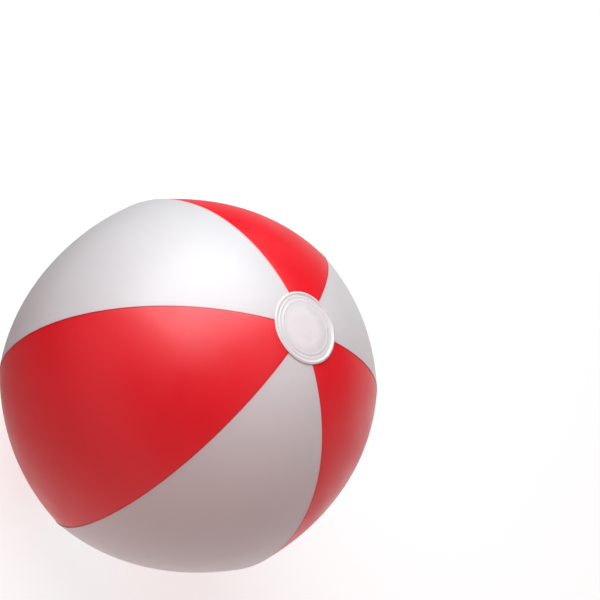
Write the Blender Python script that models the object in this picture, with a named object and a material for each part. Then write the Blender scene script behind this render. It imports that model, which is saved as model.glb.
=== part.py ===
"""Inflatable beach ball: six film panels, a round film disc over each end, and a push-in valve.

Metres, +Z up. The origin is the ball's centre. +Z runs through the middle of the top end disc, and
+Y runs out through the valve, which is stored pushed in with its stopper closed.
"""
import math

import bmesh
import bpy
from mathutils import Matrix, Vector

# The inflated skin: the outer face of the white panels, at a polar angle from +Z and a longitude.
POLE_RADIUS = 0.140        # ball's centre to the skin under an end disc
SEAM_SWELL = 0.0381        # how far the seams stand out at the equator, as a share of the pole radius
SEAM_SHOULDER = 0.0054     # the same, halfway between the equator and a pole
MIDDLE_SWELL = 0.0021      # how far the panel middles stand out at the equator
MIDDLE_SHOULDER = 0.0174   # the same, halfway between the equator and a pole
PANEL_PITCH = math.radians(60)
SEAM_DRIFT = (-0.0035, 0.0, 0.0, -0.0018, 0.0, 0.0010)   # each seam's distance from its even place
MOST_DRIFT = math.radians(15)

# Film and welds
FILM = 0.00025             # panel film thickness
GAP = 0.0003               # clearance between touching pieces
LAP = 0.004                # how far a red panel's margin runs under its white neighbour
LAP_SHARE = 0.3            # the most of half a panel's width that a margin may take near the tips
TIP_RADIUS = 0.015         # the panel tips are cut off this far from the pole axis

# End discs
DISC_RADIUS = 0.0280
TOP_DISC_CENTRE = (-0.0004, 0.0027)   # the top disc is welded on a little off centre
DISC_FILM = 0.0004
REST_RADIUS = 0.012        # the flat patch that the ball stands on
WELD_RINGS = (0.0208, 0.0238, 0.0266)
RING_HALF_WIDTH = 0.0008
RING_RISE = 0.0004

# Valve, in its own frame: the valve axis is +Y, and height 0 is the skin at the middle of the panel.
FLANGE_INNER = 0.0100
FLANGE_OUTER = 0.0190
FLANGE_THICKNESS = 0.0005
PANEL_HOLE_RADIUS = 0.0110
CUP_WALL = 0.0005
CUP_DEPTH = 0.0120
TUBE_OUTER = 0.0045
TUBE_BORE = 0.0030
TUBE_BOTTOM = -0.0133
COLLAR_RADIUS = 0.0056
COLLAR_THICKNESS = 0.0008
MOUTH = 0.0002             # height of the plane where the stopper meets the collar
HINGE_ARM = 0.0083         # valve axis to the fold in the stopper's strap
STRAP_WIDTH = 0.0040
STRAP_THICKNESS = 0.0007
CAP_RADIUS = 0.0060
CAP_THICKNESS = 0.0013
PIN_LENGTH = 0.0040
PIN_RADIUS = 0.00275
PIN_TIP_RADIUS = 0.0020
THUMB_TAB = 0.0020         # how far the tab stands out from the cap's edge
THUMB_TAB_WIDTH = 0.0044
FLAP_RADIUS = 0.0039
FLAP_THICKNESS = 0.0005
FLAP_HINGE_ARM = 0.0042

# Mesh fineness
ROWS_PER_HALF = 10         # panel rows between an end disc's rim and the equator
INNER_COLUMNS = 6          # panel columns between its two margins
DISC_SIDES = 36
ROUND_SIDES = 28

PANELS = (                 # name, longitude of the panel's middle in degrees
    ("red_panel_front", -90),
    ("white_panel_front_right", -30),
    ("red_panel_back_right", 30),
    ("white_panel_back", 90),
    ("red_panel_back_left", 150),
    ("white_panel_front_left", -150),
)
RED = (0.66, 0.012, 0.030)
WHITE = (0.80, 0.79, 0.79)
MILKY = (0.66, 0.62, 0.63)
CLEAR = (0.72, 0.74, 0.74)


# ---- scene and materials ---------------------------------------------------------------------

def clear_scene():
    for item in list(bpy.data.objects):
        bpy.data.objects.remove(item, do_unlink=True)


def make_material(name, colour, roughness):
    material = bpy.data.materials.new(name)
    material.use_nodes = True
    shader = material.node_tree.nodes["Principled BSDF"]
    shader.inputs["Base Color"].default_value = (*colour, 1.0)
    shader.inputs["Roughness"].default_value = roughness
    shader.inputs["Metallic"].default_value = 0.0
    return material


def finish_object(name, mesh_builder, material, crease_degrees=40):
    """Turn a finished bmesh into a named object with outward faces and smooth round surfaces."""
    bmesh.ops.recalc_face_normals(mesh_builder, faces=mesh_builder.faces)
    mesh = bpy.data.meshes.new(name)
    mesh_builder.to_mesh(mesh)
    mesh_builder.free()
    mesh.shade_smooth()
    mesh.set_sharp_from_angle(angle=math.radians(crease_degrees))
    mesh.materials.append(material)
    piece = bpy.data.objects.new(name, mesh)
    bpy.context.collection.objects.link(piece)
    return piece


# ---- the inflated shape ----------------------------------------------------------------------

def skin_radius(polar, longitude):
    """Centre to skin. Air makes each panel bulge, and the stiff seams stand out like low ridges."""
    low = (1 - math.cos(2 * polar)) / 2
    shoulder = (1 - math.cos(4 * polar)) / 2
    seam = 1 + SEAM_SWELL * low + SEAM_SHOULDER * shoulder
    middle = 1 + MIDDLE_SWELL * low + MIDDLE_SHOULDER * shoulder
    half_pitch = PANEL_PITCH / 2
    across = abs((longitude % PANEL_PITCH) / half_pitch - 1)    # 0 at a panel's middle, 1 at a seam
    return POLE_RADIUS * (middle + (seam - middle) * across ** 2)


def drift(polar, longitude):
    """Angle by which the skin's pattern has run off even spacing. The seams lie a few mm off it."""
    place = longitude / PANEL_PITCH
    seam = math.floor(place)
    share = place - seam
    off = SEAM_DRIFT[seam % 6] * (1 - share) + SEAM_DRIFT[(seam + 1) % 6] * share
    return max(-MOST_DRIFT, min(MOST_DRIFT, off / (POLE_RADIUS * math.sin(polar))))


def skin_point(polar, longitude, lift):
    """A point that stands `lift` outside the skin. The longitude counts the seams as evenly spaced."""
    radius = skin_radius(polar, longitude) + lift
    flat = radius * math.sin(polar)
    turned_by = longitude + drift(polar, longitude)
    return Vector((flat * math.cos(turned_by), flat * math.sin(turned_by), radius * math.cos(polar)))


def polar_at(axis_distance, longitude=0.0):
    """Polar angle of the skin at a distance from the pole axis, in the northern half."""
    polar = math.asin(axis_distance / POLE_RADIUS)
    for _ in range(8):
        polar = math.asin(axis_distance / skin_radius(polar, longitude))
    return polar


def skin_top(x, y):
    """How high the skin lies above a point near the pole axis."""
    distance = math.hypot(x, y)
    if distance == 0.0:
        return POLE_RADIUS
    longitude = math.atan2(y, x)
    polar = polar_at(distance, longitude)
    return skin_point(polar, longitude, 0.0).z


def skin_height(x, z):
    """How far out along +Y the skin lies, above a point near the valve axis."""
    y = POLE_RADIUS
    for _ in range(8):
        polar = math.acos(z / math.sqrt(x * x + y * y + z * z))
        y = math.sqrt(skin_radius(polar, math.atan2(y, x)) ** 2 - x * x - z * z)
    return y


# ---- panels ----------------------------------------------------------------------------------

def panel_rows():
    """Polar angles from the cut tip at the top to the one at the bottom."""
    rim = polar_at(DISC_RADIUS)
    first = polar_at(TIP_RADIUS)
    half = [first, (first + rim) / 2]
    half += [rim + (math.pi / 2 - rim) * i / ROWS_PER_HALF for i in range(ROWS_PER_HALF + 1)]
    return half + [math.pi - polar for polar in reversed(half[:-1])]


def panel_columns(polar, middle, is_red):
    """Longitudes across a panel. A red panel's margins run on past the seams, under the white ones."""
    half = PANEL_PITCH / 2
    margin = min(LAP / (POLE_RADIUS * math.sin(polar)), LAP_SHARE * half)
    if is_red:
        inner = [-half + 2 * half * i / INNER_COLUMNS for i in range(INNER_COLUMNS + 1)]
        offsets = [-half - margin] + inner + [half + margin]
    else:
        reach = half - margin
        inner = [-reach + 2 * reach * i / INNER_COLUMNS for i in range(INNER_COLUMNS + 1)]
        offsets = [-half] + inner + [half]
    return [middle + offset for offset in offsets]


def thin_shell(builder, outer, inner):
    """Close two grids of points, one a film thickness under the other, into one thin solid."""
    top = [[builder.verts.new(point) for point in row] for row in outer]
    under = [[builder.verts.new(point) for point in row] for row in inner]
    last_row, last_column = len(outer) - 1, len(outer[0]) - 1
    for i in range(last_row):
        for j in range(last_column):
            builder.faces.new((top[i][j], top[i + 1][j], top[i + 1][j + 1], top[i][j + 1]))
            builder.faces.new((under[i][j], under[i][j + 1], under[i + 1][j + 1], under[i + 1][j]))
    for j in range(last_column):
        for i in (0, last_row):
            builder.faces.new((top[i][j], top[i][j + 1], under[i][j + 1], under[i][j]))
    for i in range(last_row):
        for j in (0, last_column):
            builder.faces.new((top[i][j], under[i][j], under[i + 1][j], top[i + 1][j]))


def make_panel(name, middle_degrees, material, is_red):
    middle = math.radians(middle_degrees)
    lift = -(FILM + GAP) if is_red else 0.0
    outer, inner = [], []
    for polar in panel_rows():
        columns = panel_columns(polar, middle, is_red)
        outer.append([skin_point(polar, longitude, lift) for longitude in columns])
        inner.append([skin_point(polar, longitude, lift - FILM) for longitude in columns])
    builder = bmesh.new()
    thin_shell(builder, outer, inner)
    return finish_object(name, builder, material)


def cut_valve_hole(panel):
    """Round hole through the back panel, which the valve's cup hangs in."""
    bpy.ops.mesh.primitive_cylinder_add(vertices=ROUND_SIDES, radius=PANEL_HOLE_RADIUS, depth=0.02,
                                        location=(0, POLE_RADIUS, 0), rotation=(math.pi / 2, 0, 0))
    cutter = bpy.context.object
    cutter.name = "valve_hole_cutter"
    cutter.hide_render = True
    cutter.display_type = "WIRE"
    hole = panel.modifiers.new("valve_hole", "BOOLEAN")
    hole.operation = "DIFFERENCE"
    hole.solver = "EXACT"
    hole.object = cutter


# ---- end discs -------------------------------------------------------------------------------

def ring_profile():
    """(distance from the axis, rise) down the disc's outer face, ridge by ridge, to its rim."""
    profile = [(REST_RADIUS, 0.0), (0.0170, 0.0)]
    for radius in WELD_RINGS:
        profile += [(radius - RING_HALF_WIDTH, 0.0), (radius, RING_RISE), (radius + RING_HALF_WIDTH, 0.0)]
    return profile + [(DISC_RADIUS, 0.0)]


def make_end_disc(name, material, side, centre):
    """Film disc over one end. side is +1 at the top and -1 at the bottom."""
    builder = bmesh.new()
    flat_height = skin_top(REST_RADIUS, 0.0)

    def ring(distance, lift):
        corners = []
        for k in range(DISC_SIDES):
            angle = 2 * math.pi * k / DISC_SIDES
            x, y = centre[0] + distance * math.cos(angle), centre[1] + distance * math.sin(angle)
            height = flat_height if distance <= REST_RADIUS else skin_top(x, y)
            corners.append(builder.verts.new((x, y, side * (height + lift))))
        return corners

    outer = [ring(distance, GAP + DISC_FILM + rise) for distance, rise in ring_profile()]
    inner = [ring(distance, GAP) for distance in (DISC_RADIUS, 0.0225, 0.0170, REST_RADIUS)]
    loops = outer + inner
    for first, second in zip(loops, loops[1:]):
        for k in range(DISC_SIDES):
            after = (k + 1) % DISC_SIDES
            builder.faces.new((first[k], first[after], second[after], second[k]))
    builder.faces.new(outer[0])
    builder.faces.new(inner[-1])
    return finish_object(name, builder, material, crease_degrees=60)


# ---- valve -----------------------------------------------------------------------------------

def turned(builder, profile, height=0.0):
    """Turn a closed (radius, height) outline about +Y. Points on the axis become single points."""
    loops = []
    for radius, level in profile:
        if radius == 0.0:
            loops.append([builder.verts.new((0.0, height + level, 0.0))])
            continue
        angles = [2 * math.pi * k / ROUND_SIDES for k in range(ROUND_SIDES)]
        loops.append([builder.verts.new((radius * math.sin(angle), height + level, radius * math.cos(angle)))
                      for angle in angles])
    on_axis = [len(loop) == 1 for loop in loops]
    pairs = list(zip(loops, loops[1:]))
    if not (on_axis[0] and on_axis[-1]):
        pairs.append((loops[-1], loops[0]))
    for first, second in pairs:
        for k in range(ROUND_SIDES):
            after = (k + 1) % ROUND_SIDES
            corners = {id(v): v for v in (first[k % len(first)], first[after % len(first)],
                                          second[after % len(second)], second[k % len(second)])}
            builder.faces.new(list(corners.values()))


def add_block(builder, low, high):
    size = [b - a for a, b in zip(low, high)]
    middle = [(a + b) / 2 for a, b in zip(low, high)]
    matrix = Matrix.Translation(middle) @ Matrix.Diagonal((*size, 1.0))
    bmesh.ops.create_cube(builder, size=1.0, matrix=matrix)


def valve_height():
    """Distance from the ball's centre to the valve's height 0."""
    return skin_height(0.0, 0.0)


def place(piece, parent, height, z=0.0):
    """Move a piece so that its own origin lies on its joint, and hang it on its parent."""
    piece.location = (0.0, height, z)
    if parent:
        piece.parent = parent


def make_flange(material):
    """Soft ring that lies on the panel around the valve and follows its curve."""
    builder = bmesh.new()

    def ring(radius, lift):
        corners = []
        for k in range(ROUND_SIDES):
            angle = 2 * math.pi * k / ROUND_SIDES
            x, z = radius * math.sin(angle), radius * math.cos(angle)
            corners.append(builder.verts.new((x, skin_height(x, z) + lift, z)))
        return corners

    radii = [FLANGE_INNER + (FLANGE_OUTER - FLANGE_INNER) * i / 3 for i in range(4)]
    loops = [ring(radius, GAP + FLANGE_THICKNESS) for radius in radii]
    loops += [ring(radius, GAP) for radius in reversed(radii)]
    for first, second in zip(loops, loops[1:] + loops[:1]):
        for k in range(ROUND_SIDES):
            after = (k + 1) % ROUND_SIDES
            builder.faces.new((first[k], first[after], second[after], second[k]))
    return finish_object("valve_flange", builder, material)


def cup_outline():
    """Half section of the soft cup, from its lip at the panel's hole down to the tube's foot."""
    foot = TUBE_OUTER + GAP
    lip = FLANGE_INNER - 0.0001
    steps = 8
    inside = []
    for i in range(steps + 1):
        turn = math.pi / 2 * i / steps
        radius = foot + (lip - foot) * math.cos(turn) ** 0.8
        inside.append((radius, -0.0008 - (CUP_DEPTH - 0.0008) * math.sin(turn)))
    outside = [(radius + CUP_WALL * math.cos(math.pi / 2 * i / steps),
                level - CUP_WALL * math.sin(math.pi / 2 * i / steps))
               for i, (radius, level) in enumerate(inside)]
    return inside + outside[::-1]


def make_cup(material):
    builder = bmesh.new()
    turned(builder, cup_outline())
    cup = finish_object("valve_cup", builder, material)
    place(cup, None, valve_height())
    return cup


def make_stem(material):
    """Tube with a collar round its mouth. The collar's tab reaches up to the strap's fold."""
    top = MOUTH - GAP / 2
    under_collar = top - COLLAR_THICKNESS
    builder = bmesh.new()
    turned(builder, [(TUBE_BORE, top), (COLLAR_RADIUS, top), (COLLAR_RADIUS, under_collar),
                     (TUBE_OUTER, under_collar - 0.0006), (TUBE_OUTER, TUBE_BOTTOM), (TUBE_BORE, TUBE_BOTTOM)])
    stem = finish_object("valve_stem", builder, material)
    place(stem, None, valve_height())
    tab_builder = bmesh.new()
    tab_end = HINGE_ARM - GAP / 2
    add_block(tab_builder, (-STRAP_WIDTH / 2, under_collar + 0.0001, TUBE_OUTER),
              (STRAP_WIDTH / 2, top - 0.0001, tab_end))
    tab = finish_object("collar_tab_shape", tab_builder, material)
    place(tab, stem, 0.0)
    tab.hide_render = True
    tab.display_type = "WIRE"
    join = stem.modifiers.new("collar_tab", "BOOLEAN")
    join.operation = "UNION"
    join.solver = "EXACT"
    join.object = tab
    return stem


def make_stopper(material, stem):
    """Round cap with a tapered pin, and a tab for the thumb on the side away from the strap."""
    underside = GAP / 2
    rounding = 0.0003
    builder = bmesh.new()
    turned(builder, [(0.0, underside + CAP_THICKNESS),
                     (CAP_RADIUS - rounding, underside + CAP_THICKNESS),
                     (CAP_RADIUS, underside + CAP_THICKNESS - rounding),
                     (CAP_RADIUS, underside),
                     (PIN_RADIUS, underside),
                     (PIN_RADIUS, -0.001),
                     (PIN_TIP_RADIUS, -PIN_LENGTH),
                     (0.0, -PIN_LENGTH)])
    bmesh.ops.translate(builder, verts=builder.verts, vec=(0.0, 0.0, -HINGE_ARM))
    stopper = finish_object("stopper", builder, material)
    place(stopper, stem, MOUTH, HINGE_ARM)
    tab_builder = bmesh.new()
    near = -HINGE_ARM - CAP_RADIUS + 0.0015
    add_block(tab_builder, (-THUMB_TAB_WIDTH / 2, underside + 0.0002, near - 0.0015 - THUMB_TAB),
              (THUMB_TAB_WIDTH / 2, underside + CAP_THICKNESS - rounding - 0.0001, near))
    tab = finish_object("thumb_tab_shape", tab_builder, material)
    place(tab, stopper, 0.0)
    tab.hide_render = True
    tab.display_type = "WIRE"
    join = stopper.modifiers.new("thumb_tab", "BOOLEAN")
    join.operation = "UNION"
    join.solver = "EXACT"
    join.object = tab
    return stopper


def make_strap(material, stem):
    """Short flat strap between the cap's edge and the fold."""
    builder = bmesh.new()
    add_block(builder, (-STRAP_WIDTH / 2, GAP / 2, CAP_RADIUS + GAP - HINGE_ARM),
              (STRAP_WIDTH / 2, GAP / 2 + STRAP_THICKNESS, -GAP / 2))
    strap = finish_object("stopper_strap", builder, material)
    place(strap, stem, MOUTH, HINGE_ARM)
    return strap


def make_flap(material, stem):
    """Thin round flap that closes the tube's foot and hangs from its top edge."""
    builder = bmesh.new()
    turned(builder, [(0.0, -GAP / 2), (FLAP_RADIUS, -GAP / 2),
                     (FLAP_RADIUS, -GAP / 2 - FLAP_THICKNESS), (0.0, -GAP / 2 - FLAP_THICKNESS)])
    bmesh.ops.translate(builder, verts=builder.verts, vec=(0.0, 0.0, -FLAP_HINGE_ARM))
    flap = finish_object("check_flap", builder, material)
    place(flap, stem, TUBE_BOTTOM - GAP / 2, FLAP_HINGE_ARM)
    return flap


def build():
    clear_scene()
    red = make_material("red_film", RED, 0.28)
    white = make_material("white_film", WHITE, 0.28)
    milky = make_material("milky_film", MILKY, 0.35)
    clear = make_material("clear_vinyl", CLEAR, 0.22)
    for name, middle in PANELS:
        is_red = name.startswith("red")
        panel = make_panel(name, middle, red if is_red else white, is_red)
        if name == "white_panel_back":
            cut_valve_hole(panel)
    make_end_disc("top_end_disc", milky, 1, TOP_DISC_CENTRE)
    make_end_disc("bottom_end_disc", milky, -1, (0.0, 0.0))
    make_flange(clear)
    make_cup(clear)
    stem = make_stem(clear)
    make_stopper(clear, stem)
    make_strap(clear, stem)
    make_flap(clear, stem)


build()
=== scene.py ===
import math

import bmesh
import bpy
import numpy as np
from mathutils import Matrix, Vector


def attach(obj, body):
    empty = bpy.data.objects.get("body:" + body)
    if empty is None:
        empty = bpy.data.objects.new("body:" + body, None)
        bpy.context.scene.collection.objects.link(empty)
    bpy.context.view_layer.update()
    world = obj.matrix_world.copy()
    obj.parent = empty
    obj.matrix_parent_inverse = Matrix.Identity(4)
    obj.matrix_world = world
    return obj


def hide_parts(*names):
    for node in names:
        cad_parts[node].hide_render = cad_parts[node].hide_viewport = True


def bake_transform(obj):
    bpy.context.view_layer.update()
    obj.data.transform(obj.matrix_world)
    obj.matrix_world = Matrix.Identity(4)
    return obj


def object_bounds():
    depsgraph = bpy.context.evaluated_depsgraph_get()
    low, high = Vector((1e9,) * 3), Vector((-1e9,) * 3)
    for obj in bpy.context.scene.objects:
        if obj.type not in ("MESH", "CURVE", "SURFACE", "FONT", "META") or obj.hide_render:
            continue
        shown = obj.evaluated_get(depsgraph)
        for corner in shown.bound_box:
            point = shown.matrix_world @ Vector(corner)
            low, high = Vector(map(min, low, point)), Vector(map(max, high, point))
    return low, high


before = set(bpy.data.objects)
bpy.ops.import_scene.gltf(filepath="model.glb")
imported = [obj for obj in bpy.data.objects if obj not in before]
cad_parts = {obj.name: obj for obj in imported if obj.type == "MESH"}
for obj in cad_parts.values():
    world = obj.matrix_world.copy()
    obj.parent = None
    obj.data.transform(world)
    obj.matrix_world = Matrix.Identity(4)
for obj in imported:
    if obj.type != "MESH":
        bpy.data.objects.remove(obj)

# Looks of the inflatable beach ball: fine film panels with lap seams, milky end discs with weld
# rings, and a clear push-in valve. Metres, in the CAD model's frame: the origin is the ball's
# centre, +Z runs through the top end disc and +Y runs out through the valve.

CAD_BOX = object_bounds()

# ---- the inflated shape, as the CAD model has it ---------------------------------------------
SEAM_SWELL = 0.0381        # how far the seams stand out at the equator, as a share of the pole radius
SEAM_SHOULDER = 0.0054     # the same, halfway between the equator and a pole
MIDDLE_SWELL = 0.0021      # how far the panel middles stand out at the equator
MIDDLE_SHOULDER = 0.0174   # the same, halfway between the equator and a pole
PANEL_PITCH = math.radians(60)
SEAM_DRIFT = np.array([-0.0035, 0.0, 0.0, -0.0018, 0.0, 0.0010])   # each seam off its even place
MOST_DRIFT = math.radians(15)
POLE_RADIUS = 0.140
TIP_RADIUS = 0.015         # the panel tips are cut off this far from the pole axis

# ---- film and welds --------------------------------------------------------------------------
FILM = 0.00022
EDGE_STEP = 0.00013        # how far a lap's upper film stands above the skin, and its lower film below
STEP_FADE = 0.0030
GROOVE_DEPTH = 0.00010     # the weld presses a groove into the red film beside the white edge
GROOVE_WIDTH = 0.0007
WELD_WIDTH = 0.0040        # the weld's inner border shows on the white film
WELD_LINE_DEPTH = 0.00006
WELD_LINE_WIDTH = 0.00035
PUCKER = 0.00005           # height of the small puckers that run off the seams
PUCKER_LENGTH = 0.011
PUCKER_REACH = 0.006
SLACK = 0.00009            # height of the film's slow unevenness
PANEL_ROWS = 110
EDGE_COLUMNS = 14
EDGE_BAND = 0.0075         # the finely divided strip along each seam
EDGE_GROWTH = 4.2          # how strongly its columns crowd toward the seam
MIDDLE_COLUMNS = 22
STRIP_SHARE = 0.8          # near the tips, the strip takes at most this share of half a panel
LAP_SHARE = 0.3            # and the margin under the white panel at most this share
PUCKER_WANDER = 1.7        # the puckers' spacing varies by this much, in radians of a ripple
PUCKER_WANDER_RATE = 0.31

# ---- end discs -------------------------------------------------------------------------------
DISC_RADIUS = 0.0280
TOP_DISC_CENTRE = (-0.0004, 0.0027)
DISC_SIDES = 192
DISC_FILM = 0.0004
DISC_FLAT_RADIUS = 0.012
WELD_RINGS = (0.0208, 0.0238, 0.0266)
DISC_UNDERSIDE = 0.00018   # gap between the skin and a disc's inner face
FLAT_SOFTNESS = 0.00012
RING_WIDTH = 0.00060
RING_RISE = 0.00024
RIM_CURL = 0.0015          # the rim beyond the welds curls up off the panels, most on the +Y side
RIM_CURL_WIDTH = 0.0040
RIM_ROLL = 0.00035         # and its very edge rolls back down
RIM_ROLL_WIDTH = 0.0014
CURL_MEAN, CURL_SWING = 0.56, 0.44     # share of the curl all round, and what the +Y side has more
CURL_TURN = 0.2
RIM_WAVE = 0.00016
RIM_WAVES = 5
RIM_WAVE_TURN = 1.0
RIM_THINNING = 0.00012     # the very edge is this much thinner on each side
RIM_THINNING_WIDTH = 0.0003
COARSE_RINGS = (0.0006, 0.0190, 24)    # first and last radius of the mesh's inner rings, and their number
FINE_RINGS = (0.0192, DISC_RADIUS, 72)

# ---- valve. Heights are measured from the skin at the middle of the back panel, along +Y ------
VALVE_HEIGHT = POLE_RADIUS * (1 + MIDDLE_SWELL)
ROUND_SIDES = 96
PANEL_HOLE_RADIUS = 0.0110
FLANGE_INNER, FLANGE_OUTER = 0.0100, 0.0190
FLANGE_THICKNESS = 0.0005
FLANGE_UNDERSIDE = 0.0002
FLANGE_RINGS = (0.0138, 0.0155)
FLANGE_RING_RISE = 0.00028
FLANGE_RING_WIDTH = 0.00050
FLANGE_THINNING = 0.7      # share of its thickness that the flange loses toward its outer rim
FLANGE_RIM_WIDTH = 0.0010
FLANGE_LIP_RISE = 0.00018  # and the low lip round its hole
FLANGE_LIP_WIDTH = 0.0005
FLANGE_CIRCLES = 56
CUP_LIP, CUP_FOOT = 0.0099, 0.0046
CUP_TOP = 0.0004
CUP_DEPTH = 0.0121
CUP_WALL = 0.00045
CUP_FULLNESS = 0.8         # below 1 makes the funnel's wall rounder than a quarter of an ellipse
CUP_STEPS = 36
TUBE_OUTER, TUBE_BORE = 0.0045, 0.0030
TUBE_BOTTOM = -0.0133
COLLAR_RADIUS = 0.0056
COLLAR_TOP = 0.00005
COLLAR_HEIGHT, COLLAR_TAPER = 0.0008, 0.0006
TAB_INSET = 0.0001         # the strap's tab is this much thinner than the collar, on each side
TAB_GAP = 0.0002           # and ends this far short of the hinge
GRIP_RINGS = (-0.0040, -0.0065)
GRIP_HALF_WIDTH, GRIP_RISE = 0.0006, 0.00035
HINGE_HEIGHT = 0.0002
HINGE_ARM = 0.0083
STRAP_WIDTH, STRAP_THICKNESS = 0.0040, 0.0006
STRAP_NARROWING = 0.96     # share of the collar tab's width that the strap has
STRAP_BELOW, STRAP_ABOVE = 0.0004, 0.0005      # from collar top and hinge to the strap's two runs
FOLD_STEPS, RUN_STEPS = 12, 6
CAP_RADIUS = 0.0060
CAP_FACE, CAP_TOP = 0.00015, 0.00145           # above the hinge
CAP_CROWN = 0.0001
DISH_RADII, DISH_DEPTHS = (0.0042, 0.0047), (0.0003, 0.0)
HOLLOW_RADII, HOLLOW_DEPTHS = (0.0011, 0.0014), (0.0030, 0.0004)
PIN_RADIUS, PIN_TIP_RADIUS, PIN_LENGTH = 0.00275, 0.0020, 0.0040
PIN_STRAIGHT = 0.0010      # the pin tapers from this far below the hinge
THUMB_TAB, THUMB_TAB_WIDTH = 0.0020, 0.0044
THUMB_RIDGES, RIDGE_PITCH, RIDGE_WIDTH = 2, 0.0007, 0.0003
FLAP_RADIUS = 0.0039
FLAP_GAP, FLAP_THICKNESS, FLAP_DISH = 0.0003, 0.0005, 0.0001

# ---- colours and surfaces --------------------------------------------------------------------
RED = (0.96, 0.004, 0.016)
RED_DEEP = (0.74, 0.002, 0.009)
# painted shadow: the dark line on the red film beside the white film's edge
RED_SEAM_SHADOW = (0.40, 0.010, 0.018)
WHITE = (0.785, 0.775, 0.775)
WHITE_SHADE = (0.74, 0.725, 0.73)
PINK = (0.86, 0.42, 0.44)
MILK = (0.95, 0.945, 0.945)
# painted shade: the disc's middle, slightly darker and pinker, for the dim interior of the ball behind it
MILK_MIDDLE_PAINTED_SHADE = (0.935, 0.90, 0.915)
MILK_SHADE = (0.91, 0.88, 0.89)
CLEAR = (0.93, 0.94, 0.94)
CLEAR_SHADE = (0.85, 0.86, 0.86)
THIN_ALPHA, THICK_ALPHA = 0.42, 0.80   # the flange shows the panel under it, and the other pieces less
DISC_ALPHA = (0.99, 0.86)              # in the middle, and where the panels are close under the disc
RED_ROUGHNESS, WHITE_ROUGHNESS = 0.40, 0.42
SMOOTHER, ROUGHER = 0.035, 0.045       # how far the film's gloss varies to each side
FILM_CLOUDS = (14.0, 5.0)              # noise scale and detail
GRAIN = (1500.0, 2.0)
SEAM_EDGE_REACH = 0.0011            # the painted seam shadow on the red film, and the pink edge on the white film, fade out this far from the seam


# ---- surface formulas ------------------------------------------------------------------------

def skin_radius(polar, longitude):
    """Centre to skin. Air makes each panel bulge, and the stiff seams stand out like low ridges."""
    low = (1 - np.cos(2 * polar)) / 2
    shoulder = (1 - np.cos(4 * polar)) / 2
    seam = 1 + SEAM_SWELL * low + SEAM_SHOULDER * shoulder
    middle = 1 + MIDDLE_SWELL * low + MIDDLE_SHOULDER * shoulder
    across = np.abs((longitude % PANEL_PITCH) / (PANEL_PITCH / 2) - 1)
    return POLE_RADIUS * (middle + (seam - middle) * across ** 2)


def drift(polar, longitude):
    """Angle by which the skin's pattern has run off even spacing."""
    place = longitude / PANEL_PITCH
    seam = np.floor(place).astype(int)
    share = place - seam
    off = SEAM_DRIFT[seam % 6] * (1 - share) + SEAM_DRIFT[(seam + 1) % 6] * share
    return np.clip(off / (POLE_RADIUS * np.sin(polar)), -MOST_DRIFT, MOST_DRIFT)


def on_skin(polar, longitude, lift):
    """Points that stand `lift` outside the skin. Longitudes count the seams as evenly spaced."""
    radius = skin_radius(polar, longitude) + lift
    flat = radius * np.sin(polar)
    turned_by = longitude + drift(polar, longitude)
    return np.stack([flat * np.cos(turned_by), flat * np.sin(turned_by), radius * np.cos(polar)], axis=-1)


def polar_at(axis_distance, longitude):
    """Polar angle of the skin at a distance from the pole axis, in the upper half."""
    polar = np.arcsin(axis_distance / POLE_RADIUS)
    for _ in range(8):
        polar = np.arcsin(axis_distance / skin_radius(polar, longitude))
    return polar


def skin_top(x, y):
    """How high the skin lies above points near the pole axis."""
    longitude = np.arctan2(y, x)
    polar = polar_at(np.hypot(x, y), longitude)
    return skin_radius(polar, longitude) * np.cos(polar)


def skin_height(x, z):
    """How far out along +Y the skin lies, above points near the valve axis."""
    y = np.full_like(x, POLE_RADIUS)
    for _ in range(8):
        polar = np.arccos(z / np.sqrt(x * x + y * y + z * z))
        y = np.sqrt(skin_radius(polar, np.arctan2(y, x)) ** 2 - x * x - z * z)
    return y


def bell(distance, width):
    return np.exp(-(distance / width) ** 2)


# ---- mesh helpers ----------------------------------------------------------------------------
CREASE = math.radians(50)              # edges sharper than this stay sharp
SOLID_CREASE = math.radians(40)        # the same, on pieces joined from several solids
ROUNDING_STEPS = 4
MOST_ROUNDED = 0.45                    # a rounding takes at most this share of each edge


def new_piece(name, vertices, faces):
    """Mesh object with its faces turned outward, smooth except at real edges."""
    mesh = bpy.data.meshes.new(name)
    mesh.from_pydata(vertices, [], faces)
    builder = bmesh.new()
    builder.from_mesh(mesh)
    bmesh.ops.recalc_face_normals(builder, faces=builder.faces)
    builder.to_mesh(mesh)
    builder.free()
    mesh.shade_smooth()
    mesh.set_sharp_from_angle(angle=CREASE)
    piece = bpy.data.objects.new(name, mesh)
    bpy.context.collection.objects.link(piece)
    return piece


def grid_faces(rows, columns, start):
    """Quads of a grid of vertices numbered from start."""
    faces = []
    for i in range(rows - 1):
        for j in range(columns - 1):
            corner, below = start + i * columns + j, start + (i + 1) * columns + j
            faces.append((corner, below, below + 1, corner + 1))
    return faces


def thin_shell(name, outer, inner):
    """Close two grids, one a film thickness under the other, into one thin solid."""
    rows, columns = outer.shape[:2]
    count = rows * columns
    vertices = np.concatenate([outer.reshape(-1, 3), inner.reshape(-1, 3)]).tolist()
    faces = grid_faces(rows, columns, 0) + grid_faces(rows, columns, count)
    for i in (0, rows - 1):
        for j in range(columns - 1):
            a = i * columns + j
            faces.append((a, a + 1, count + a + 1, count + a))
    for j in (0, columns - 1):
        for i in range(rows - 1):
            a = i * columns + j
            faces.append((a, a + columns, count + a + columns, count + a))
    return new_piece(name, vertices, faces)


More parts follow.
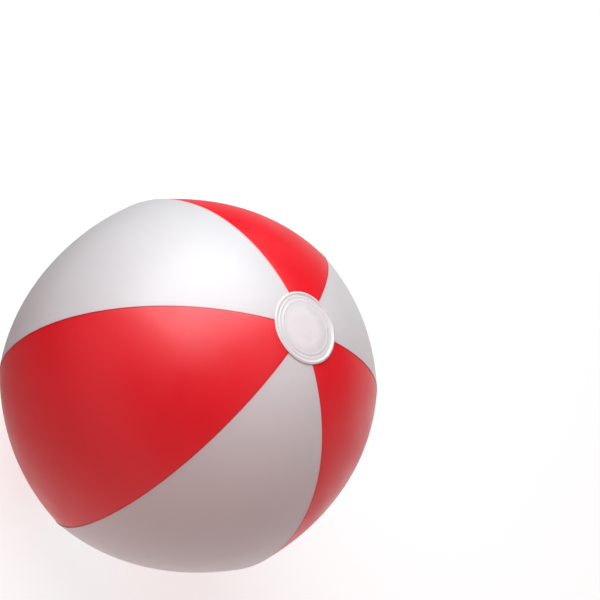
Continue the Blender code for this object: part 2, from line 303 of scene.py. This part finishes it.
def turned_rings(name, rings):
    """Solid from a closed chain of rings, each an array of points. A ring of one point is a tip."""
    vertices, starts = [], []
    for ring in rings:
        starts.append(len(vertices))
        vertices += ring.tolist()
    faces = []
    open_ended = len(rings[0]) == 1 and len(rings[-1]) == 1
    for i in range(len(rings) - 1 if open_ended else len(rings)):
        k = (i + 1) % len(rings)
        here, there = len(rings[i]), len(rings[k])
        for j in range(max(here, there)):
            corners = [starts[i] + j % here, starts[i] + (j + 1) % here,
                       starts[k] + (j + 1) % there, starts[k] + j % there]
            faces.append(tuple(dict.fromkeys(corners)))
    return new_piece(name, vertices, faces)


def round_angles(sides):
    return np.arange(sides) * 2 * math.pi / sides


def circle(radius, height):
    """Ring about the valve axis, or one point on it. Heights are measured from the skin."""
    if radius <= 0.0:
        return np.array([[0.0, VALVE_HEIGHT + height, 0.0]])
    angle = round_angles(ROUND_SIDES)
    return np.stack([radius * np.sin(angle), np.full(ROUND_SIDES, VALVE_HEIGHT + height),
                     radius * np.cos(angle)], axis=-1)


def rounded(corners, radius):
    """Half section with each inner corner rounded by a short curve."""
    points = [corners[0]]
    for before, corner, after in zip(corners, corners[1:], corners[2:]):
        here = Vector(corner)
        back, ahead = Vector(before) - here, Vector(after) - here
        reach = min(radius, back.length * MOST_ROUNDED, ahead.length * MOST_ROUNDED)
        start, end = here + back.normalized() * reach, here + ahead.normalized() * reach
        for k in range(ROUNDING_STEPS + 1):
            t = k / ROUNDING_STEPS
            points.append(tuple(start * (1 - t) ** 2 + here * 2 * t * (1 - t) + end * t ** 2))
    return points + [corners[-1]]


def rounded_loop(corners, radius):
    """The same for a closed outline."""
    middle = tuple((Vector(corners[-1]) + Vector(corners[0])) / 2)
    return rounded([middle] + list(corners) + [middle], radius)[:-1]


def turned(name, outline):
    """Solid turned about the valve axis from a (radius, height) outline."""
    return turned_rings(name, [circle(radius, height) for radius, height in outline])


def set_attribute(piece, name, values):
    attribute = piece.data.attributes.new(name, "FLOAT", "POINT")
    attribute.data.foreach_set("value", np.asarray(values, np.float32).ravel())


def apply_modifiers(piece):
    graph = bpy.context.evaluated_depsgraph_get()
    mesh = bpy.data.meshes.new_from_object(piece.evaluated_get(graph))
    piece.modifiers.clear()
    piece.data = mesh


# ---- material helpers ------------------------------------------------------------------------
NOISE_ROUGHNESS = 0.55


class Nodes:
    """Short way to write a material's node tree."""

    def __init__(self, name):
        self.material = bpy.data.materials.new(name)
        self.material.use_nodes = True
        self.tree = self.material.node_tree
        self.shader = self.tree.nodes["Principled BSDF"]
        self.place = self.add("ShaderNodeTexCoord").outputs["Object"]

    def add(self, kind, **settings):
        node = self.tree.nodes.new(kind)
        for key, value in settings.items():
            setattr(node, key, value)
        return node

    def link(self, source, target):
        self.tree.links.new(source, target)

    def noise(self, scale, detail):
        node = self.add("ShaderNodeTexNoise")
        node.inputs["Scale"].default_value = scale
        node.inputs["Detail"].default_value = detail
        node.inputs["Roughness"].default_value = NOISE_ROUGHNESS
        self.link(self.place, node.inputs["Vector"])
        return node.outputs["Fac"]

    def attribute(self, name):
        return self.add("ShaderNodeAttribute", attribute_name=name).outputs["Fac"]

    def spread(self, value, low, high, to_low, to_high):
        """Map a value from one range to another, with a soft start and end."""
        node = self.add("ShaderNodeMapRange", interpolation_type="SMOOTHSTEP")
        for key, number in zip(("From Min", "From Max", "To Min", "To Max"), (low, high, to_low, to_high)):
            node.inputs[key].default_value = number
        self.link(value, node.inputs["Value"])
        return node.outputs["Result"]

    def combine(self, operation, first, second):
        """Sum or product of two values, each a number or a socket."""
        node = self.add("ShaderNodeMath", operation=operation)
        for socket, value in zip(node.inputs, (first, second)):
            if isinstance(value, (int, float)):
                socket.default_value = value
            else:
                self.link(value, socket)
        return node.outputs[0]

    def blend(self, share, first, second):
        """Mix of two colours, each a colour or a socket."""
        node = self.add("ShaderNodeMix", data_type="RGBA")
        self.link(share, node.inputs[0])
        for socket, value in zip((node.inputs[6], node.inputs[7]), (first, second)):
            if isinstance(value, tuple):
                socket.default_value = (*value, 1.0)
            else:
                self.link(value, socket)
        return node.outputs[2]

    def colour(self, socket):
        self.link(socket, self.shader.inputs["Base Color"])

    def bump(self, height, distance):
        node = self.add("ShaderNodeBump")
        node.inputs["Strength"].default_value = 1.0
        node.inputs["Distance"].default_value = distance
        self.link(height, node.inputs["Height"])
        self.link(node.outputs["Normal"], self.shader.inputs["Normal"])

    def set(self, **values):
        for key, value in values.items():
            self.shader.inputs[key.replace("_", " ")].default_value = value


def grained(nodes, grain_share, wave_scale, height):
    """Bump of a fine leather-like grain over slower waves."""
    grain = nodes.combine("MULTIPLY", nodes.noise(*GRAIN), grain_share)
    nodes.bump(nodes.combine("ADD", grain, nodes.noise(wave_scale, detail=2.0)), height)


def film_surface(nodes, roughness):
    """Satin calendered film: uneven gloss and a fine grain."""
    gloss = nodes.noise(scale=38.0, detail=4.0)
    uneven = nodes.spread(gloss, 0.3, 0.7, roughness - SMOOTHER, roughness + ROUGHER)
    nodes.link(uneven, nodes.shader.inputs["Roughness"])
    grained(nodes, 0.12, 90.0, 0.00007)
    nodes.set(IOR=1.53, Specular_IOR_Level=0.8)


def clouded(nodes, most, plain, shade):
    """Film colour with faint, soft clouds of a second one."""
    return nodes.blend(nodes.spread(nodes.noise(*FILM_CLOUDS), 0.35, 0.68, 0.0, most), plain, shade)


def red_film():
    """Red film, darker along the seam: a painted shadow beside the white film's edge, over the weld's
    groove.
    """
    nodes = Nodes("red_film")
    base = clouded(nodes, 0.16, RED, RED_DEEP)
    # painted shadow along the seam, darkest at the white film's edge
    seam_shadow = nodes.spread(nodes.attribute("seam_distance"), 0.0, SEAM_EDGE_REACH, 0.85, 0.0)
    nodes.colour(nodes.blend(seam_shadow, base, RED_SEAM_SHADOW))
    film_surface(nodes, RED_ROUGHNESS)
    return nodes.material


def white_film():
    """White film. The red one under its lap shines through faintly, and strongly at the edge."""
    nodes = Nodes("white_film")
    base = clouded(nodes, 0.5, WHITE, WHITE_SHADE)
    distance = nodes.attribute("seam_distance")
    lap = nodes.blend(nodes.spread(distance, 0.0030, WELD_WIDTH, 0.07, 0.0), base, PINK)
    edge = nodes.spread(distance, 0.0002, SEAM_EDGE_REACH, 0.75, 0.0)
    nodes.colour(nodes.blend(edge, lap, PINK))
    film_surface(nodes, WHITE_ROUGHNESS)
    return nodes.material


def milky_film():
    """Milky film: the panels show faintly through its outer part. Behind its middle is only air, so the
    middle is painted slightly darker and pinker, as painted shade for the dim interior.
    """
    nodes = Nodes("milky_film")
    distance = nodes.attribute("pole_distance")
    # painted shade toward the middle, where only the dim interior lies behind the film
    middle = nodes.spread(distance, 0.0060, 0.0240, 1.0, 0.0)
    cloud = nodes.spread(nodes.noise(scale=24.0, detail=1.0), 0.3, 0.75, 0.0, 0.45)
    base = nodes.blend(middle, MILK, MILK_MIDDLE_PAINTED_SHADE)
    nodes.colour(nodes.blend(cloud, base, MILK_SHADE))
    nodes.link(nodes.spread(distance, 0.0125, 0.0200, *DISC_ALPHA), nodes.shader.inputs["Alpha"])
    gloss = nodes.noise(scale=45.0, detail=4.0)
    nodes.link(nodes.spread(gloss, 0.3, 0.7, 0.26, 0.34), nodes.shader.inputs["Roughness"])
    grained(nodes, 0.1, 110.0, 0.00008)
    nodes.set(IOR=1.5, Specular_IOR_Level=0.6)
    return nodes.material


def clear_vinyl(name, alpha):
    """Clear moulded vinyl, slightly cloudy."""
    nodes = Nodes(name)
    cloud = nodes.spread(nodes.noise(scale=120.0, detail=4.0), 0.3, 0.7, 0.0, 0.3)
    nodes.colour(nodes.blend(cloud, CLEAR, CLEAR_SHADE))
    gloss = nodes.noise(scale=90.0, detail=4.0)
    nodes.link(nodes.spread(gloss, 0.3, 0.7, 0.16, 0.28), nodes.shader.inputs["Roughness"])
    nodes.bump(nodes.noise(scale=400.0, detail=3.0), 0.00003)
    nodes.set(IOR=1.53, Alpha=alpha)
    return nodes.material


# ---- panels ----------------------------------------------------------------------------------

def edge_stations():
    """Distances from a seam to the strip's columns, close together at the seam."""
    steps = np.arange(EDGE_COLUMNS + 1) / EDGE_COLUMNS
    share = (np.exp(steps * EDGE_GROWTH) - 1) / (math.exp(EDGE_GROWTH) - 1)
    return EDGE_BAND * share


def panel_grid(middle, margin):
    """Polar angles, longitudes and distances from the nearer seam, for a grid over one panel. With a
    margin, it goes on under the neighbouring panels by the width of the weld."""
    half = PANEL_PITCH / 2
    tip = float(polar_at(np.array(TIP_RADIUS), np.array(middle)))
    rows = np.linspace(tip, math.pi - tip, PANEL_ROWS + 1)
    stations = edge_stations()
    polar, longitude, distance = [], [], []
    for row in rows:
        axis_distance = POLE_RADIUS * math.sin(row)
        squeeze = min(1.0, STRIP_SHARE * half * axis_distance / EDGE_BAND)
        strip = stations * squeeze / axis_distance
        inner = half - strip[-1]
        across = np.linspace(-inner, inner, MIDDLE_COLUMNS + 1)[1:-1]
        offsets = np.concatenate([-half + strip, across, (half - strip)[::-1]])
        if margin:
            under = min(WELD_WIDTH * squeeze / axis_distance, LAP_SHARE * half) * np.array([1.0, 0.5])
            offsets = np.concatenate([-half - under, offsets, half + under[::-1]])
        polar.append(np.full(len(offsets), row))
        longitude.append(middle + offsets)
        distance.append((half - np.abs(offsets)) * axis_distance)
    return np.array(polar), np.array(longitude), np.array(distance)


def puckers(polar, distance, phase):
    """Small ripples that run off the seams, where the flat film is drawn round the ball."""
    along = polar * POLE_RADIUS / PUCKER_LENGTH * 2 * math.pi
    ripple = np.sin(along + phase + PUCKER_WANDER * np.sin(PUCKER_WANDER_RATE * along + phase))
    reach = np.clip(distance, 0, None)
    return PUCKER * ripple * (reach / PUCKER_REACH) * np.exp(1 - reach / PUCKER_REACH) * np.sin(polar)


def slack(polar, longitude, phase):
    """Slow unevenness of the stretched film, under a fifth of a millimetre."""
    slow = np.sin(5.0 * polar + 3.0 * longitude + phase)
    quick = np.sin(9.0 * polar - 4.0 * longitude)
    return SLACK * (slow + 0.6 * quick)


def make_panel(node, middle_degrees, material, is_red):
    """One film panel. At a seam the white film stands above the skin and the red one below it."""
    middle = math.radians(middle_degrees)
    polar, longitude, distance = panel_grid(middle, is_red)
    fade = np.exp(-np.clip(distance, 0, None) / STEP_FADE)
    lift = slack(polar, longitude, middle) + puckers(polar, distance, middle)
    if is_red:
        lift = lift - EDGE_STEP * fade - GROOVE_DEPTH * bell(np.clip(distance, 0, None), GROOVE_WIDTH)
    else:
        lift = lift + EDGE_STEP * fade - WELD_LINE_DEPTH * bell(distance - WELD_WIDTH, WELD_LINE_WIDTH)
    outer, inner = on_skin(polar, longitude, lift), on_skin(polar, longitude, lift - FILM)
    panel = thin_shell(node + "_film", outer, inner)
    set_attribute(panel, "seam_distance", np.concatenate([distance.ravel(), distance.ravel()]))
    panel.data.materials.append(material)
    return finished(panel, "ball", node)


def finished(piece, body, node):
    """Hide the CAD part that a piece replaces, and put the piece on its body, if it doesn't blend between
    two.
    """
    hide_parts(node)
    if body:
        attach(piece, body)
    return piece


def cut_valve_hole(panel):
    """Round hole through the back panel, which the valve's cup hangs in."""
    bpy.ops.mesh.primitive_cylinder_add(vertices=ROUND_SIDES, radius=PANEL_HOLE_RADIUS, depth=0.02,
                                        location=(0, POLE_RADIUS, 0), rotation=(math.pi / 2, 0, 0))
    cutter = bpy.context.object
    hole = panel.modifiers.new("valve_hole", "BOOLEAN")
    hole.operation, hole.solver, hole.object = "DIFFERENCE", "EXACT", cutter
    apply_modifiers(panel)
    bpy.data.objects.remove(cutter, do_unlink=True)


# ---- end discs -------------------------------------------------------------------------------

def smooth(value, low, high):
    """0 below low, 1 above high, with a soft start and end."""
    share = np.clip((value - low) / (high - low), 0, 1)
    return share * share * (3 - 2 * share)


def disc_ring(distance, lift, centre, side):
    """Ring of points on an end disc: flat in the middle, then along the skin, with a curled-up rim."""
    angle = round_angles(DISC_SIDES)
    x, y = centre[0] + distance * np.cos(angle), centre[1] + distance * np.sin(angle)
    flat = float(skin_top(DISC_FLAT_RADIUS, 0.0))
    height = flat - FLAT_SOFTNESS * np.logaddexp(0.0, (flat - skin_top(x, y)) / FLAT_SOFTNESS)
    share = CURL_MEAN + CURL_SWING * np.sin(angle + CURL_TURN)
    curl = RIM_CURL * share + RIM_WAVE * np.sin(RIM_WAVES * angle + RIM_WAVE_TURN)
    crest = DISC_RADIUS - 0.5 * RIM_ROLL_WIDTH
    height = height + curl * smooth(distance, DISC_RADIUS - RIM_CURL_WIDTH, crest)
    roll = RIM_ROLL * share * smooth(distance, DISC_RADIUS - RIM_ROLL_WIDTH, DISC_RADIUS)
    return np.stack([x, y, side * (height - roll + lift)], axis=-1)


def make_end_disc(node, material, side, centre):
    """Film disc with three weld rings pressed in, and a softly rounded rim."""
    distances = np.concatenate([np.linspace(*COARSE_RINGS), np.linspace(*FINE_RINGS)])
    rise = sum(RING_RISE * bell(distances - ring, RING_WIDTH) for ring in WELD_RINGS)
    edge_drop = RIM_THINNING * smooth(distances, DISC_RADIUS - RIM_THINNING_WIDTH, DISC_RADIUS)
    outer = [disc_ring(d, DISC_UNDERSIDE + DISC_FILM + r, centre, side)
             for d, r in zip(distances, rise - edge_drop)]
    inner = [disc_ring(d, DISC_UNDERSIDE + 0.5 * r, centre, side)
             for d, r in zip(distances[::-2], (rise + edge_drop)[::-2])]
    tips = [np.array([[centre[0], centre[1], ring[0, 2]]]) for ring in (outer[0], inner[-1])]
    disc = turned_rings(node + "_film", [tips[0]] + outer + inner + [tips[1]])
    place = np.empty(len(disc.data.vertices) * 3)
    disc.data.vertices.foreach_get("co", place)
    set_attribute(disc, "pole_distance", np.hypot(place[0::3], place[1::3]))
    disc.data.materials.append(material)
    return finished(disc, "ball", node)


# ---- valve -----------------------------------------------------------------------------------

def lifted_circle(radius, lift):
    """Ring round the valve that stands `lift` above the panel and follows its curve."""
    angle = round_angles(ROUND_SIDES)
    x, z = radius * np.sin(angle), radius * np.cos(angle)
    return np.stack([x, skin_height(x, z) + lift, z], axis=-1)


def make_flange(material):
    """Soft ring on the panel round the valve, with two raised weld rings and a thin rim."""
    radii = np.linspace(FLANGE_INNER, FLANGE_OUTER, FLANGE_CIRCLES)
    rise = sum(FLANGE_RING_RISE * bell(radii - ring, FLANGE_RING_WIDTH) for ring in FLANGE_RINGS)
    thinning = FLANGE_THICKNESS * FLANGE_THINNING
    rise = rise - thinning * smooth(radii, FLANGE_OUTER - FLANGE_RIM_WIDTH, FLANGE_OUTER)
    rise = rise + FLANGE_LIP_RISE * bell(radii - FLANGE_INNER - FLANGE_LIP_WIDTH, FLANGE_LIP_WIDTH)
    top = [lifted_circle(r, FLANGE_UNDERSIDE + FLANGE_THICKNESS + up) for r, up in zip(radii, rise)]
    under = [lifted_circle(r, FLANGE_UNDERSIDE) for r in radii[::-5]]
    flange = turned_rings("valve_flange_ring", top + under)
    flange.data.materials.append(material)
    return finished(flange, "ball", "valve_flange")


def make_cup(material):
    """Soft funnel between flange and tube, in its rest shape. The real one turns inside out as the tube
    slides out.
    """
    inside, outside = [], []
    for i in range(CUP_STEPS + 1):
        turn = math.pi / 2 * i / CUP_STEPS
        radius = CUP_FOOT + (CUP_LIP - CUP_FOOT) * math.cos(turn) ** CUP_FULLNESS
        level = CUP_TOP - (CUP_DEPTH + CUP_TOP) * math.sin(turn)
        inside.append((radius, level))
        outside.append((radius + CUP_WALL * math.cos(turn), level - CUP_WALL * math.sin(turn)))
    cup = turned("valve_cup_funnel", inside + outside[::-1])
    cup.data.materials.append(material)
    finished(cup, None, "valve_cup")
    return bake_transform(cup)


def make_block(name, low, high, rounding):
    """Box between two corners, with rounded edges."""
    middle = [(a + b) / 2 for a, b in zip(low, high)]
    bpy.ops.mesh.primitive_cube_add(size=1.0, location=middle)
    block = bpy.context.object
    block.name = name
    block.scale = [b - a for a, b in zip(low, high)]
    bpy.ops.object.transform_apply(location=True, rotation=False, scale=True)
    bevel = block.modifiers.new("edges", "BEVEL")
    bevel.width, bevel.segments = rounding, 3
    apply_modifiers(block)
    return block


def join_solid(piece, other):
    """Union of two solids into the first. The second is removed."""
    union = piece.modifiers.new("join", "BOOLEAN")
    union.operation, union.solver, union.object = "UNION", "EXACT", other
    apply_modifiers(piece)
    bpy.data.objects.remove(other, do_unlink=True)
    piece.data.shade_smooth()
    piece.data.set_sharp_from_angle(angle=SOLID_CREASE)


def make_stem(material):
    """Tube with a rounded collar round its mouth, two moulded grip rings, and the strap's tab."""
    collar_foot = COLLAR_TOP - COLLAR_HEIGHT
    corners = [(TUBE_BORE, COLLAR_TOP), (COLLAR_RADIUS, COLLAR_TOP), (COLLAR_RADIUS, collar_foot),
               (TUBE_OUTER, collar_foot - COLLAR_TAPER)]
    for ring in GRIP_RINGS:
        corners += [(TUBE_OUTER, ring + GRIP_HALF_WIDTH), (TUBE_OUTER + GRIP_RISE, ring),
                    (TUBE_OUTER, ring - GRIP_HALF_WIDTH)]
    corners += [(TUBE_OUTER, TUBE_BOTTOM), (TUBE_BORE, TUBE_BOTTOM)]
    stem = turned("valve_stem_tube", rounded_loop(corners, 0.0002))
    tab = make_block("tab", (-STRAP_WIDTH / 2, VALVE_HEIGHT + collar_foot + TAB_INSET, TUBE_OUTER),
                     (STRAP_WIDTH / 2, VALVE_HEIGHT + COLLAR_TOP - TAB_INSET, HINGE_ARM - TAB_GAP), 0.0002)
    join_solid(stem, tab)
    stem.data.materials.clear()
    stem.data.materials.append(material)
    return finished(stem, "valve", "valve_stem")


def make_stopper(material):
    """Cap with a dished top and a tapered hollow pin, and a ridged tab for the thumb."""
    face, top = HINGE_HEIGHT + CAP_FACE, HINGE_HEIGHT + CAP_TOP
    corners = [(0.0, top - HOLLOW_DEPTHS[0])]
    corners += [(radius, top - depth) for radius, depth in zip(HOLLOW_RADII, HOLLOW_DEPTHS)]
    corners += [(radius, top - depth) for radius, depth in zip(DISH_RADII, DISH_DEPTHS)]
    corners += [(CAP_RADIUS - CAP_CROWN, top - CAP_CROWN), (CAP_RADIUS, face),
                (PIN_RADIUS, face), (PIN_RADIUS, HINGE_HEIGHT - PIN_STRAIGHT),
                (PIN_TIP_RADIUS, HINGE_HEIGHT - PIN_LENGTH), (0.0, HINGE_HEIGHT - PIN_LENGTH)]
    stopper = turned("stopper_cap", rounded(corners, 0.00022))
    far = -CAP_RADIUS - THUMB_TAB
    tab = make_block("thumb_tab", (-THUMB_TAB_WIDTH / 2, VALVE_HEIGHT + face + 0.0002, far),
                     (THUMB_TAB_WIDTH / 2, VALVE_HEIGHT + top - 0.0004, -CAP_RADIUS + 0.0010), 0.00022)
    join_solid(stopper, tab)
    for k in range(THUMB_RIDGES):
        z = far + 0.0005 + RIDGE_PITCH * k
        low = (-THUMB_TAB_WIDTH / 2 + 0.0005, VALVE_HEIGHT + top - 0.0006, z)
        high = (THUMB_TAB_WIDTH / 2 - 0.0005, VALVE_HEIGHT + top - 0.00025, z + RIDGE_WIDTH)
        join_solid(stopper, make_block("ridge", low, high, 0.0001))
    stopper.data.materials.clear()
    stopper.data.materials.append(material)
    return finished(stopper, "stopper", "stopper")


def strap_route():
    """(z, height) points from the collar's tab, out round the fold, and back to the cap's edge."""
    low, high = COLLAR_TOP - STRAP_BELOW, HINGE_HEIGHT + STRAP_ABOVE
    middle, reach = (low + high) / 2, (high - low) / 2
    points = [(HINGE_ARM - 0.0010, low), (HINGE_ARM - 0.0005, low)]
    for k in range(FOLD_STEPS + 1):
        turn = -math.pi / 2 + math.pi * k / FOLD_STEPS
        points.append((HINGE_ARM + 0.0002 + reach * math.cos(turn), middle + reach * math.sin(turn)))
    start, end = points[-1][0], CAP_RADIUS - 0.0003
    return points + [(start + (end - start) * k / RUN_STEPS, high) for k in range(1, RUN_STEPS + 1)]


def make_strap(material):
    """Thin band that folds over between the tube's collar and the cap."""
    route = strap_route()
    rings = []
    for i, (z, height) in enumerate(route):
        before, after = route[max(i - 1, 0)], route[min(i + 1, len(route) - 1)]
        along = Vector((after[0] - before[0], after[1] - before[1])).normalized()
        corners = []
        for side, up in rounded_loop([(-1, -1), (1, -1), (1, 1), (-1, 1)], 0.45):
            x = side * STRAP_WIDTH / 2 * STRAP_NARROWING
            offset = up * STRAP_THICKNESS / 2
            corners.append((x, VALVE_HEIGHT + height + along.x * offset, z - along.y * offset))
        rings.append(np.array(corners))
    ends = [ring.mean(axis=0, keepdims=True) for ring in (rings[0], rings[-1])]
    strap = turned_rings("stopper_strap_band", [ends[0]] + rings + [ends[1]])
    strap.data.materials.append(material)
    finished(strap, None, "stopper_strap")
    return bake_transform(strap)


def make_flap(material):
    """Thin dished disc that closes the tube's foot."""
    top = TUBE_BOTTOM - FLAP_GAP
    corners = [(0.0, top - FLAP_DISH), (FLAP_RADIUS * 0.6, top - FLAP_DISH), (FLAP_RADIUS, top),
               (FLAP_RADIUS, top - FLAP_THICKNESS), (0.0, top - FLAP_THICKNESS - FLAP_DISH)]
    flap = turned("check_flap_disc", rounded(corners, 0.00015))
    flap.data.materials.append(material)
    return finished(flap, "flap", "check_flap")


def build():
    """All pieces of the ball, each on its body except the cup's funnel and the strap."""
    red, white, milky = red_film(), white_film(), milky_film()
    thin, thick = clear_vinyl("clear_vinyl_thin", THIN_ALPHA), clear_vinyl("clear_vinyl_thick", THICK_ALPHA)
    for node, middle in (("red_panel_front", -90), ("white_panel_front_right", -30),
                         ("red_panel_back_right", 30), ("white_panel_back", 90),
                         ("red_panel_back_left", 150), ("white_panel_front_left", -150)):
        is_red = node.startswith("red")
        panel = make_panel(node, middle, red if is_red else white, is_red)
        if node == "white_panel_back":
            cut_valve_hole(panel)
    make_end_disc("top_end_disc", milky, 1, TOP_DISC_CENTRE)
    make_end_disc("bottom_end_disc", milky, -1, (0.0, 0.0))
    make_flange(thin)
    make_cup(thick)
    make_stem(thick)
    make_stopper(thick)
    make_strap(thick)
    make_flap(thick)


# ---- camera, lights and floor ----------------------------------------------------------------
VIEW_LONGITUDE = math.radians(-83.28)
VIEW_ELEVATION = math.radians(48.11)
POLE_TILT = math.radians(26.60)        # the pole axis shows this far above the picture's right
VIEW_DISTANCE = 14.5 * POLE_RADIUS
LENS = 158.9
SENSOR = 36.0
BALL_OFFSET = (-0.3703, -0.2866)       # ball's centre, as shares of half the picture's width

STAGE_RADIUS = 10.0
FLOOR_COLOUR, FLOOR_GLOW = (0.42, 0.42, 0.42), 0.72
DOME_COLOUR, DOME_GLOW = (0.0, 0.0, 0.0), 0.84
# Directions of lights are given as right, up and backward in the picture.
KEY_DIRECTION = (0.15, 0.83, 0.53)
KEY_DISTANCE, KEY_SIZE = 1.15, (1.5, 1.1)
KEY_POWER, KEY_COLOUR = 16.9, (0.87, 0.968, 1.0)
BACK_DIRECTION = (0.60, 0.25, -0.75)
BACK_DISTANCE, BACK_SIZE = 1.6, (1.4, 1.4)
BACK_POWER, BACK_COLOUR = 0.4, (1.0, 1.0, 1.0)
ROOM_GLOWS = (             # direction; cosines where the glow starts and is full; colour
    ((0.0, 0.0, 1.0), -0.1, 0.5, (0.59, 0.385, 0.385)),
    ((0.0, 0.0, 1.0), 0.55, 0.92, (-0.42, -0.30, -0.30)),     # the dark gap where the camera stands
    ((0.2, -0.8, -0.5), 0.2, 0.6, (0.44, 0.40, 0.40)),
    ((0.25, -0.05, -0.97), 0.62, 0.97, (0.62, 0.62, 0.62)),
    ((-0.75, -0.45, -0.5), 0.62, 0.94, (0.36, 0.28, 0.28)),
)


def view_axes():
    """The picture's right, up and backward directions."""
    back = Vector((math.cos(VIEW_ELEVATION) * math.cos(VIEW_LONGITUDE),
                   math.cos(VIEW_ELEVATION) * math.sin(VIEW_LONGITUDE), math.sin(VIEW_ELEVATION)))
    pole = (Vector((0, 0, 1)) - back * back.z).normalized()
    right = pole * math.cos(POLE_TILT) - back.cross(pole) * math.sin(POLE_TILT)
    return right, back.cross(right), back


def in_view(direction):
    """A direction given as (right, up, backward) in the picture, in the row frame."""
    right, up, back = view_axes()
    return (right * direction[0] + up * direction[1] + back * direction[2]).normalized()


def make_camera():
    """Camera on the line through the ball's centre, turned aside so that the ball is off centre."""
    right, up, back = view_axes()
    camera = bpy.data.objects.new("camera", bpy.data.cameras.new("camera"))
    bpy.context.collection.objects.link(camera)
    camera.data.lens, camera.data.sensor_width = LENS, SENSOR
    straight = Matrix((right, up, back)).transposed()
    half_width = SENSOR / 2 / LENS
    toward = Vector((BALL_OFFSET[0] * half_width, BALL_OFFSET[1] * half_width, -1.0)).normalized()
    turn = toward.rotation_difference(Vector((0, 0, -1))).to_matrix()
    camera.matrix_world = Matrix.Translation(back * VIEW_DISTANCE) @ (straight @ turn).to_4x4()
    bpy.context.scene.camera = camera


def make_softbox(name, direction, distance, size, power, colour):
    """Large area light that faces the ball's centre and isn't seen itself."""
    light = bpy.data.objects.new(name, bpy.data.lights.new(name, "AREA"))
    bpy.context.collection.objects.link(light)
    light.data.shape = "RECTANGLE"
    light.data.size, light.data.size_y = size
    light.data.energy = power
    light.data.color = colour
    way = in_view(direction)
    light.location = way * distance
    light.rotation_mode = "QUATERNION"
    light.rotation_quaternion = way.to_track_quat("Z", "Y")
    light.visible_camera = False


def glowing(name, base, glow):
    """Plain material that also gives off light, so that it stays pale and shadows on it are faint."""
    nodes = Nodes(name)
    nodes.set(Base_Color=(*base, 1.0), Roughness=0.9, Emission_Color=(1.0, 1.0, 1.0, 1.0),
              Emission_Strength=glow)
    return nodes.material


def make_stage():
    """Pale floor and a pale dome far around it. Only the camera sees them: they don't light the ball."""
    bpy.ops.mesh.primitive_circle_add(vertices=96, radius=STAGE_RADIUS, fill_type="NGON",
                                      location=(0, 0, CAD_BOX[0].z))
    floor = bpy.context.object
    floor.name = "floor"
    floor.data.materials.append(glowing("floor", FLOOR_COLOUR, FLOOR_GLOW))
    bpy.ops.mesh.primitive_uv_sphere_add(segments=64, ring_count=32, radius=STAGE_RADIUS)
    dome = bpy.context.object
    dome.name = "dome"
    dome.data.materials.append(glowing("dome", DOME_COLOUR, DOME_GLOW))
    dome.visible_shadow = False
    for item in (floor, dome):
        item.visible_diffuse = item.visible_glossy = item.visible_transmission = False


def room_glow(tree, place, direction, low, high, colour):
    """Light that comes from around one direction. Returns the socket with its colour."""
    aim = tree.nodes.new("ShaderNodeVectorMath")
    aim.operation = "DOT_PRODUCT"
    aim.inputs[1].default_value = in_view(direction)
    tree.links.new(place, aim.inputs[0])
    reach = tree.nodes.new("ShaderNodeMapRange")
    reach.interpolation_type = "SMOOTHSTEP"
    reach.inputs["From Min"].default_value, reach.inputs["From Max"].default_value = low, high
    tree.links.new(aim.outputs["Value"], reach.inputs["Value"])
    glow = tree.nodes.new("ShaderNodeVectorMath")
    glow.operation = "SCALE"
    glow.inputs[0].default_value = colour
    tree.links.new(reach.outputs["Result"], glow.inputs["Scale"])
    return glow.outputs["Vector"]


def make_world():
    """Light from the room: a broad glow from the camera's side with a dark gap where the camera
    stands, one from low behind the ball, and narrow ones from behind and from the lower left."""
    world = bpy.data.worlds.new("studio")
    world.use_nodes = True
    tree = world.node_tree
    place = tree.nodes.new("ShaderNodeTexCoord").outputs["Generated"]
    total, *others = [room_glow(tree, place, *glow) for glow in ROOM_GLOWS]
    for glow in others:
        both = tree.nodes.new("ShaderNodeVectorMath")
        tree.links.new(total, both.inputs[0])
        tree.links.new(glow, both.inputs[1])
        total = both.outputs["Vector"]
    tree.links.new(total, tree.nodes["Background"].inputs["Color"])
    bpy.context.scene.world = world


bpy.context.scene.view_settings.view_transform = "Standard"
make_camera()
make_world()
make_softbox("key_softbox", KEY_DIRECTION, KEY_DISTANCE, KEY_SIZE, KEY_POWER, KEY_COLOUR)
make_softbox("back_softbox", BACK_DIRECTION, BACK_DISTANCE, BACK_SIZE, BACK_POWER, BACK_COLOUR)
make_stage()
build()
